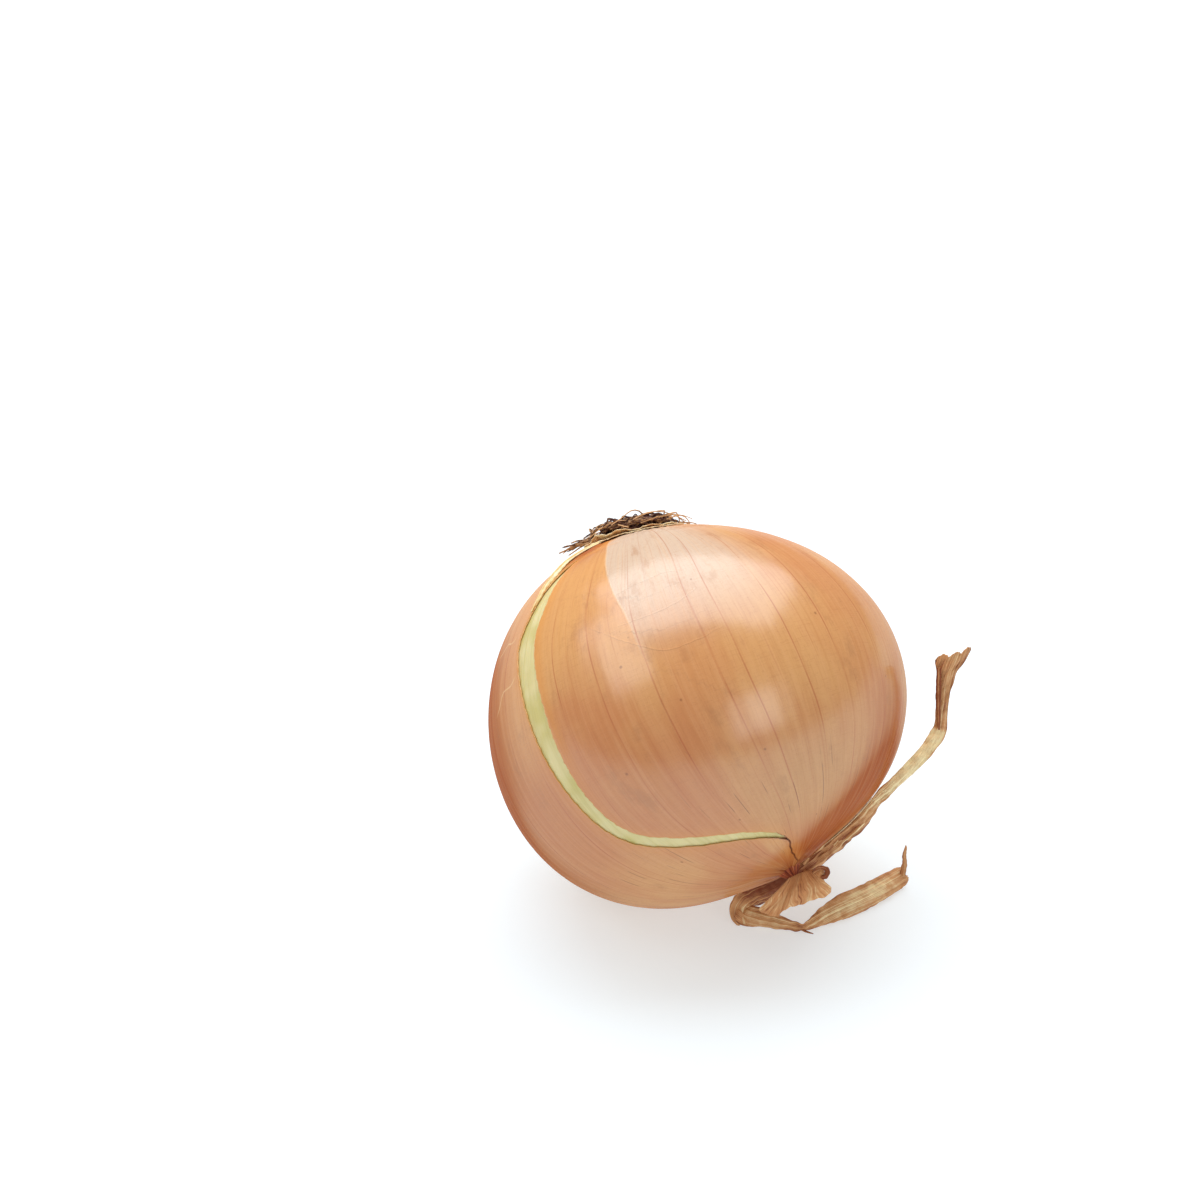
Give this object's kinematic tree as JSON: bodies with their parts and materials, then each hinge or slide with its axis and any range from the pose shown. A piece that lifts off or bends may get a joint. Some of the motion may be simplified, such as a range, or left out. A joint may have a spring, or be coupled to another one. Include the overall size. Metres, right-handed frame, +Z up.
{
  "type": "onion",
  "caption": "Whole dry onion bulb on its side, with split papery skin, a matted root tuft and dried leaves at the pinched neck; a free prop that rests on a small flat spot.",
  "frame": {"origin": "middle of the small flat spot that the bulb rests on", "axes": "+Z up, +X to the side of the neck and dried leaves, +Y away from the split in the skin"},
  "size_m": [0.0976, 0.0824, 0.08],
  "materials": {
    "flesh": "moist pale scale",
    "dry_skin": "semi-gloss papery skin",
    "root_fibre": "matt dry fibre",
    "torn_skin": "matt torn papery skin",
    "dry_leaf": "matt fibrous dry leaf"
  },
  "bodies": {
    "root": {"fleshy_bulb": "flesh", "outer_skin": "dry_skin", "root_crown": "root_fibre", "root_collar": "torn_skin", "neck": "dry_leaf", "leaf_long": "dry_leaf", "leaf_folded": "dry_leaf", "torn_flap": "dry_leaf"}
  },
  "joints": []
}
